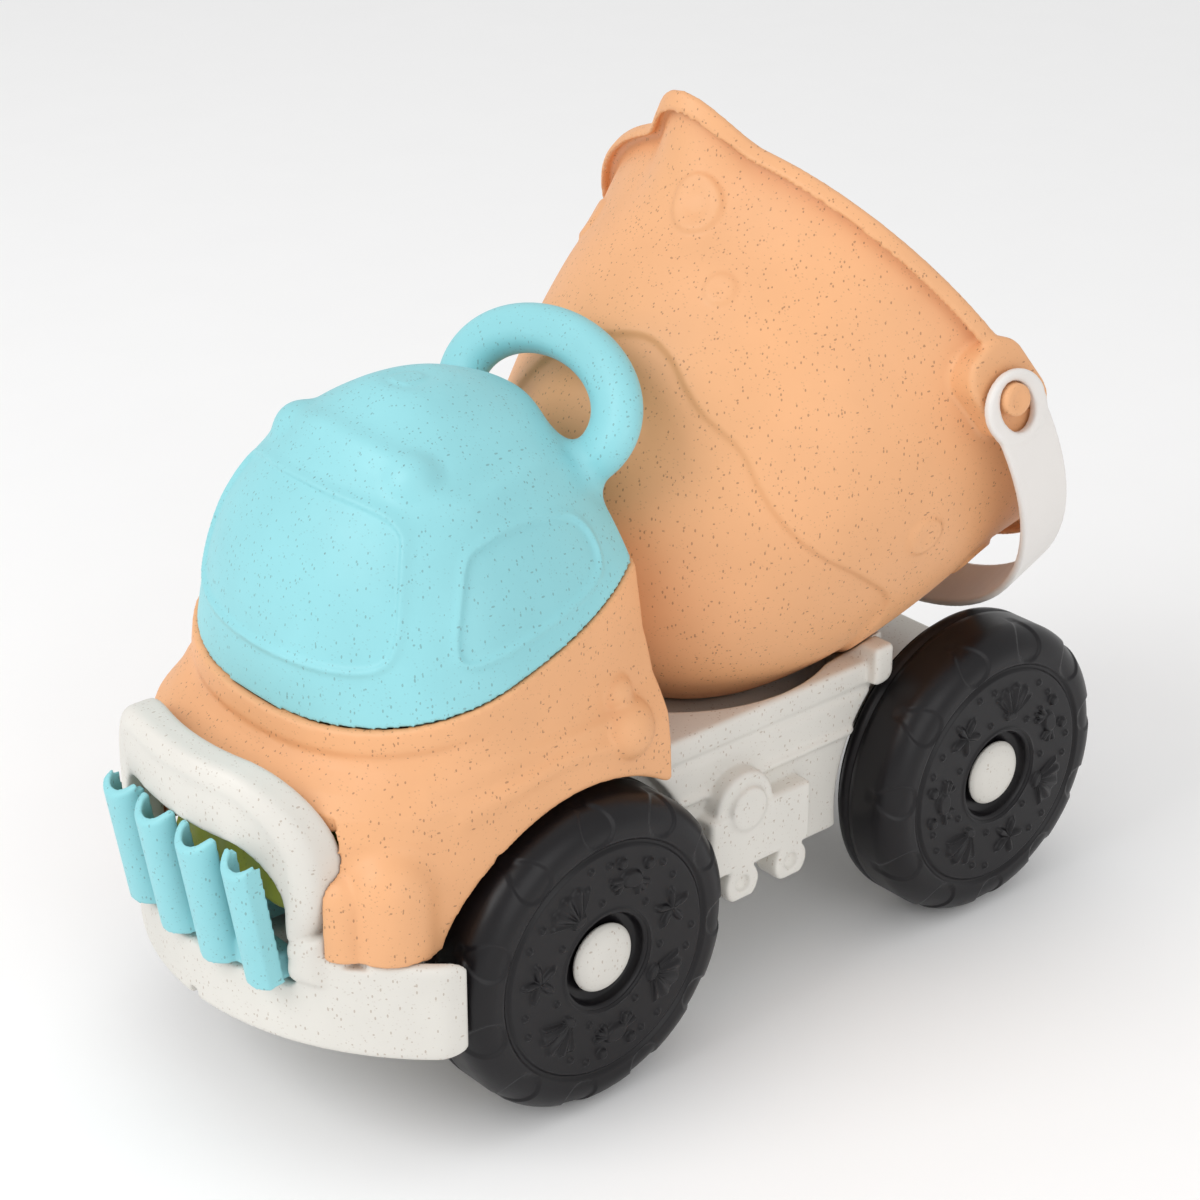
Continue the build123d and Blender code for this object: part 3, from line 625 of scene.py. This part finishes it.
# ------------------------------------------------------------------ chassis
def make_chassis():
    h = 0.8
    lo, hi = (-106, -60, 34), (144, 60, 95)
    x, y, z = axes(lo, hi, h)
    ay = np.abs(y)
    f = rbox(x, ay, z, (-46, -50, 37), (52, 50, 87), 1.6)
    f = smin(f, rbox(x, ay, z, (-104, -42.5, 37), (-40, 42.5, 64), 1.6), 1.0)
    f = np.minimum(f, rbox(x, ay, z, (40, -39, 37), (142, 39, 51.5), 1.2))
    cr = rbox(x, ay, z, (-52, -43, 60), (-40, 43, 92.5), 1.5)
    cr = smin(cr, rbox(x, ay, z, (-46, 40, 80), (-38.5, 53.5, 92.0), 1.5), 1.0)
    f = smin(f, cr, 1.0)
    # the groove along the side and the sill below it
    f = f + 0.9 * np.exp(-((z - 79.0) / 1.0) ** 2) * sstep((ay - 47) / 2.0) * (x > -44)
    f = smin(f, rbox(x, ay, z, (-44, 48.4, 66.0), (50, 51.2, 68.4), 0.9), 0.8)
    # side tank with a half-round ledge and two lugs
    f = smin(f, rbox(x, ay, z, (-11, 46, 43.0), (27, 57.0, 62), 1.5), 0.8)
    f = smin(f, ycyl(x, ay, z, 13.5, 62.0, 44, 56.0, 10.5, 1.2), 0.8)
    f = smin(f, ycyl(x, ay, z, 13.5, 62.0, 44, 58.0, 6.6, 1.2), 0.8)
    for lx in (15.0, -3.6):
        f = smin(f, ycyl(x, ay, z, lx, 38.5, 48, 57.0, 6.2, 1.0), 0.8)
        f = smax(f, -ycyl(x, ay, z, lx, 38.5, 55.6, 60, 2.4, 0.5), 0.5)
    for wx in (75.5, -75.5):
        arch = np.sqrt((x - wx) ** 2 + (z - 45.0) ** 2) - 47.6
        f = smax(f, -np.maximum(arch, 43.0 - ay), 1.2)
    bowl = smax(np.sqrt((x + 8.0) ** 2 + y * y) - 47.0, 74.0 - z, 1.0)
    f0 = smax(f, -bowl, 1.4)
    f = f0
    # hollow from below
    f = np.maximum(f, -rbox(x, ay, z, (-43, -60, 20), (49, 47.2, 63.5), 1.0))
    f = np.maximum(f, -rbox(x, ay, z, (-101, -60, 20), (-38, 39.5, 61.0), 1.0))
    f = np.maximum(f, -rbox(x, ay, z, (44, -60, 20), (139, 36, 48.8), 1.0))
    for wx in (75.5, -75.5):
        top = 49.5 if wx > 0 else 61.5
        f = np.minimum(f, rbox(x, ay, z, (wx - 5.5, 30, 37), (wx + 5.5, 39.5, top), 0.8))
        f = np.minimum(f, ycyl(x, ay, z, wx, 45.0, 36, 44.7, 6.5, 0.8))
        f = np.maximum(f, -(np.sqrt((x - wx) ** 2 + (z - 45.0) ** 2) - 2.6))
    # floor of the bowl stays, and everything clears the drum
    f = np.minimum(f, np.maximum(rbox(x, ay, z, (-50, -46.9, 63), (36, 46.9, 74), 0.5), np.sqrt((x + 8.0) ** 2 + y * y) - 47.3))
    px, py, pz = x - PO[0], y - PO[1], z - PO[2]
    s = -(px * AXV[0] + pz * AXV[2])
    a = px * REF[0] + pz * REF[2]
    r = np.sqrt(a * a + y * y)
    rp = np.interp(s, PROF[:, 1], PROF[:, 0]).astype(F)
    drum = np.maximum((r - rp) * 0.9, s - 122.0) - 0.7
    f = smax(f, -drum, 0.8)
    return from_field("chassis_moulded", f, lo, h, M_WHITE, ["chassis"], "root")


# ------------------------------------------------------------------ rake and sand mould
def make_rake():
    h = 0.5
    lo, hi = (52, -34, 51), (170, 42, 100)
    x, y, z = axes(lo, hi, h)
    ry = 3.0
    c9, s9 = math.cos(math.radians(9)), math.sin(math.radians(9))
    c38, s38 = math.cos(math.radians(38)), math.sin(math.radians(38))
    f = None
    for ty in (-27.0, -9.2, 9.2, 27.0):
        bx = 155.4 - (ty / 60.0) ** 2 * 10.0
        lx, lz = x - bx, z - 55
        u = c9 * lx - s9 * lz
        w = s9 * lx + c9 * lz
        rad = np.sqrt(u * u + (y - ty - ry) ** 2)
        shell = np.maximum(np.abs(rad - 6.0) - 1.1, -u)
        tine = smax(np.maximum(shell, -w), w - 38.0, 0.8)
        # slanted tip
        px, pz = x - (bx + 14.5), z - 97
        cut = np.maximum(np.abs(c38 * px - s38 * pz) - 17, np.abs(s38 * px + c38 * pz) - 8)
        tine = smax(tine, -cut, 0.8)
        f = tine if f is None else np.minimum(f, tine)
    f = smin(f, rbox(x, y, z, (148.4, ry - 30.5, 54.2), (157.0, ry + 30.5, 62.3), 1.2), 0.8)
    f = smin(f, rbox(x, y, z, (62, ry - 5.5, 54.3), (152, ry + 5.5, 60.0), 1.6), 1.5)
    f = smin(f, smax(np.sqrt((x - 64) ** 2 + (y - ry) ** 2) - 8.0, np.abs(z - 57.1) - 2.9, 1.6), 1.0)
    f = np.maximum(f, np.abs(y - ry) - 32.4)
    f = np.maximum(f, -rbox(x, y, z, (140, -60, 90.6), (160.6, 60, 110), 0.2))
    return from_field("rake_moulded", f, lo, h, M_BLUE, ["sand_rake"], "rake")


def make_mould():
    h = 0.6
    lo, hi = (101, -36, 65), (151, 36, 94)
    x, y, z = axes(lo, hi, h)
    k = np.clip((z - 68.35) / 22.65, 0, 1)
    th = np.arctan2(y / 1.55, x - 126)
    flute = 0.5 * np.cos(th * 14) * sstep((z - 70) / 4) * sstep((90 - z) / 3)
    o = rrect(x, y, 126, 0, 21 - 5 * k, 33 - 6 * k, 12.0) + 0.55 - flute
    i = rrect(x, y, 126, 0, 19 - 4.8 * k, 31 - 5.8 * k, 10.5)
    f = smax(smax(o, z - 91.0, 3.0), 68.4 - z, 0.6)
    f = smax(f, -np.maximum(i, z - 89.0), 0.6)
    return from_field("mould_moulded", f, lo, h, M_OLIVE, ["sand_mould"], "root")


# ------------------------------------------------------------------ wheels
def fan(u, v, R):
    """ribbed scallop shell, hinge at the bottom"""
    yy = v + 0.75 * R
    q = np.sqrt(u * u + yy * yy)
    a = np.arctan2(u, yy)
    edge = 1.62 * R * (0.90 + 0.10 * np.cos(a * 1.2)) * (1 + 0.035 * np.cos(a * 13))
    body = sstep((edge - q) / 1.3) * sstep((0.98 - np.abs(a)) / 0.12) * sstep((q - 0.8) / 1.0)
    ribs = 0.72 + 0.28 * np.cos(a * 13)
    dome = 0.75 + 0.45 * np.clip(q / edge, 0, 1) * (1 - np.clip(q / edge, 0, 1)) * 4
    base = sstep((1.6 - np.sqrt((u / 1.9) ** 2 + (yy - 0.3) ** 2)) / 0.6)
    return np.maximum(body * ribs * dome, 0.8 * base)


def star(u, v, R):
    q = np.sqrt(u * u + v * v)
    a = np.arctan2(u, v)
    edge = R * (0.36 + 0.64 * np.abs(np.cos(a * 2.5)) ** 2.2)
    return sstep((edge - q) / (0.30 * R)) * (0.65 + 0.35 * np.abs(np.cos(a * 2.5)) ** 6)


def crab(u, v, R):
    out = sstep((1 - np.sqrt((u / (0.62 * R)) ** 2 + (v / (0.42 * R)) ** 2)) / 0.35)
    for s in (-1, 1):
        out = np.maximum(out, sstep((0.27 * R - np.sqrt((u - s * 0.72 * R) ** 2 + (v - 0.62 * R) ** 2)) / 0.8))
        for k, (a0, l0) in enumerate(((-0.15, 0.95), (-0.5, 0.9), (-0.85, 0.8))):
            x0, y0 = s * 0.45 * R, -0.05 * R - 0.12 * R * k
            x1, y1 = s * l0 * R * math.cos(a0), l0 * R * math.sin(a0) * 0.9
            dx, dy = x1 - x0, y1 - y0
            t = np.clip(((u - x0) * dx + (v - y0) * dy) / (dx * dx + dy * dy), 0, 1)
            out = np.maximum(out, 0.8 * sstep((0.085 * R + 0.35 - np.sqrt((u - x0 - t * dx) ** 2 + (v - y0 - t * dy) ** 2)) / 0.6))
    return out


def wheel_relief(x, y):
    q = np.sqrt(x * x + y * y)
    out = np.zeros_like(x)
    kinds = [fan, star, fan, crab, fan, star, crab]
    for k, kind in enumerate(kinds):
        a = 2 * math.pi * k / 7 + 0.2
        cx, cy = 23.4 * math.sin(a), 23.4 * math.cos(a)
        ex, ey = (math.cos(a), -math.sin(a)), (math.sin(a), math.cos(a))
        u = (x - cx) * ex[0] + (y - cy) * ex[1]
        v = (x - cx) * ey[0] + (y - cy) * ey[1]
        out = np.maximum(out, 1.25 * kind(u, v, {fan: 6.6, star: 6.8, crab: 7.0}[kind]))
        b = a + math.pi / 7
        for rad, off in ((18.4, 0.0), (29.6, 0.09), (28.6, -0.12)):
            out = np.maximum(out, 0.8 * sstep((1.25 - np.sqrt((x - rad * math.sin(b + off)) ** 2 + (y - rad * math.cos(b + off)) ** 2)) / 0.8))
    out = out * sstep((32.2 - q) / 0.8) * sstep((q - 14.6) / 0.8)
    # raised rim round the hub recess
    out = out + 0.5 * np.exp(-((q - 14.6) / 0.6) ** 2)
    # shallow discs round the shoulder
    m = 11
    for k in range(m):
        a = 2 * math.pi * (k + 0.5) / m
        qd = np.sqrt((x - 40.2 * math.sin(a)) ** 2 + (y - 40.2 * math.cos(a)) ** 2)
        qd = np.where(q > 35.2, qd, 99)
        out = out - 0.55 * sstep((5.4 - qd) / 0.7)
    return out


def make_wheels():
    R, W = 45.0, 24.7
    arc = [(R - 8 + 8 * math.sin(math.radians(a)), W - 8 - 0.6 + 8 * math.cos(math.radians(a))) for a in range(0, 91, 2)]
    pts = [(2.7, 20.2), (12.2, 20.2), (12.9, 20.6), (13.3, 22.6), (13.7, 23.8), (14.3, 24.05)]
    pts += [(r, 24.1) for r in np.arange(14.7, 32.6, 0.27)]
    pts += [(32.8, 24.0), (33.2, 23.4), (33.6, 23.15), (34.2, 23.2), (34.6, 23.8), (35.0, 24.1), (35.5, 24.1), (36.2, 24.1)] + arc
    pts += [(R, z) for z in np.arange(15.0, 7.9, -1.2)] + [(R, 7.4), (R - 0.5, 7.0), (R - 0.5, 6.4), (R, 6.0), (R, 4.2), (R - 0.3, 3.0), (R - 1.2, 2.45), (R - 4.2, 2.45), (R - 4.2, 15.0), (R - 8.5, 21.6), (15.8, 21.6),
            (15.0, 17.8), (8.0, 17.8), (8.0, 2.45), (2.7, 2.45)]
    P = np.array(pts)
    n_a, m = 600, len(P)
    ang = np.arange(n_a) * 2 * math.pi / n_a
    T = np.roll(P, -1, 0) - np.roll(P, 1, 0)
    T /= np.linalg.norm(T, axis=1)[:, None]
    Nrm = np.stack([-T[:, 1], T[:, 0]], 1) * -1.0
    i1 = len(pts) - 9
    X = P[:, 0:1] * np.sin(ang)[None, :]
    Y = P[:, 0:1] * np.cos(ang)[None, :]
    D = wheel_relief(X, Y)
    active = ((P[:, 1] > 14.0) & (P[:, 0] > 13.8) & (np.arange(m) < m - 9))[:, None]
    D = np.where(active, D, 0)
    sgn = np.where((Nrm[:, 1] > 0) | (Nrm[:, 0] > 0), 1.0, -1.0)
    r2 = P[:, 0:1] + Nrm[:, 0:1] * sgn[:, None] * D
    z2 = P[:, 1:2] + Nrm[:, 1:2] * sgn[:, None] * D
    cap = smooth([(0.0, 24.9), (3.4, 24.78), (6.4, 24.2), (8.6, 23.2), (9.5, 22.4), (9.8, 21.8), (9.5, 21.1), (8.6, 20.75), (7.6, 20.7)], 5)
    cap = np.vstack([cap, [(4.0, 20.7), (2.7, 20.7), (2.6, 20.8), (2.6, 23.1), (2.5, 23.2), (0.0, 23.2)]])
    idx = np.arange(m * n_a).reshape(m, n_a)
    q = np.stack([idx, np.roll(idx, -1, 1), np.roll(np.roll(idx, -1, 0), -1, 1), np.roll(idx, -1, 0)], -1).reshape(-1, 4)
    for tag, wx, side, turn in (("front_left", 75.5, 1, 0.35), ("front_right", 75.5, -1, 1.1), ("rear_left", -75.5, 1, 2.3), ("rear_right", -75.5, -1, 4.0)):
        a = ang + turn
        vx = wx + side * r2 * np.sin(a)[None, :]
        vz = 45.0 + r2 * np.cos(a)[None, :]
        vy = side * (45.3 + z2) + 0 * vx
        v = np.stack([vx, vy, vz], -1).reshape(-1, 3)
        from_quads(f"wheel_face_{tag}", v, q, M_BLACK, [f"wheel_shell_{tag}"], f"wheel_{tag}")
        nc = 96
        ca = np.arange(nc) * 2 * math.pi / nc
        C = cap[1:-1]
        cv = [(wx, side * (45.3 + cap[0, 1]), 45.0)]
        for rr, zz in C:
            for t in ca:
                cv.append((wx + rr * math.sin(t), side * (45.3 + zz), 45.0 + rr * math.cos(t)))
        cv.append((wx, side * (45.3 + cap[-1, 1]), 45.0))
        last = len(cv) - 1
        fn, lp = [], []
        k = len(C)
        for j in range(nc):
            j2 = (j + 1) % nc
            fn += [3, 3]
            lp += [0, 1 + j, 1 + j2] + [last, 1 + (k - 1) * nc + j2, 1 + (k - 1) * nc + j]
            for i in range(k - 1):
                fn.append(4)
                lp += [1 + i * nc + j, 1 + (i + 1) * nc + j, 1 + (i + 1) * nc + j2, 1 + i * nc + j2]
        if side < 0:
            out, p = [], 0
            for c in fn:
                out += lp[p:p + c][::-1]
                p += c
            lp = out
        cv = np.array(cv)
        new_object(f"cap_{tag}", cv, fn, lp, M_WHITE, [f"hub_cap_{tag}"], "root")


make_roof()
make_cab()
make_fascia()
make_drum(pail_relief)
make_bail()
make_chassis()
make_rake()
make_mould()
make_wheels()
for name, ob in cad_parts.items():
    if ob.hide_render:
        continue
    mat = M_STEEL if "axle" in name else M_BLACK if name.startswith("wheel_back") else None
    if mat:
        for s in ob.material_slots:
            s.material = mat
        if not ob.material_slots:
            ob.data.materials.append(mat)

# ------------------------------------------------------------------ studio
sc = bpy.context.scene
bpy.ops.mesh.primitive_plane_add(size=12, location=(0, 0, 0))
floor = bpy.context.object
floor.name = "floor"
fm = plastic("floor_paint", (0.96, 0.96, 0.96), rough=0.9, amount=0, vary=0.004, grain=0.0)
[n for n in fm.node_tree.nodes if n.type == "BSDF_PRINCIPLED"][0].inputs["Specular IOR Level"].default_value = 0.1
floor.data.materials.append(fm)

w = bpy.data.worlds.new("studio")
sc.world = w
w.use_nodes = True
w.node_tree.nodes["Background"].inputs[0].default_value = (1, 1, 1, 1)
w.node_tree.nodes["Background"].inputs[1].default_value = 0.76


def area(name, loc, target, size, power, colour=(1, 1, 1)):
    ld = bpy.data.lights.new(name, "AREA")
    ld.shape = "DISK"
    ld.size = size
    ld.energy = power
    ld.color = colour
    ob = bpy.data.objects.new(name, ld)
    sc.collection.objects.link(ob)
    ob.location = loc
    ob.rotation_euler = (Vector(target) - Vector(loc)).to_track_quat("-Z", "Y").to_euler()


area("key", (1.05, -0.2, 0.95), (0, 0, 0.1), 0.9, 7.8)
area("fill", (0.25, 1.3, 0.6), (0, 0, 0.1), 1.1, 4.0)
area("top", (-0.1, 0.0, 1.7), (0, 0, 0.1), 1.2, 0.8)

cam = bpy.data.cameras.new("cam")
cam.lens = 2869.94 / 1200 * 36
cam.sensor_width = 36
co = bpy.data.objects.new("cam", cam)
sc.collection.objects.link(co)
al, el = math.radians(49.21), math.radians(25.92)
back = Vector((math.cos(el) * math.cos(al), math.cos(el) * math.sin(al), math.sin(el)))
right = Vector((-math.sin(al), math.cos(al), 0))
upv = back.cross(right)
m3 = Matrix((right, upv, back)).transposed()
pos = Vector(((18.33 + 804.36 * back.x + SX) / 1000, 804.36 * back.y / 1000, (106.21 + 804.36 * back.z) / 1000))
co.matrix_world = Matrix.Translation(pos) @ m3.to_4x4()
sc.camera = co
sc.view_settings.view_transform = "Standard"
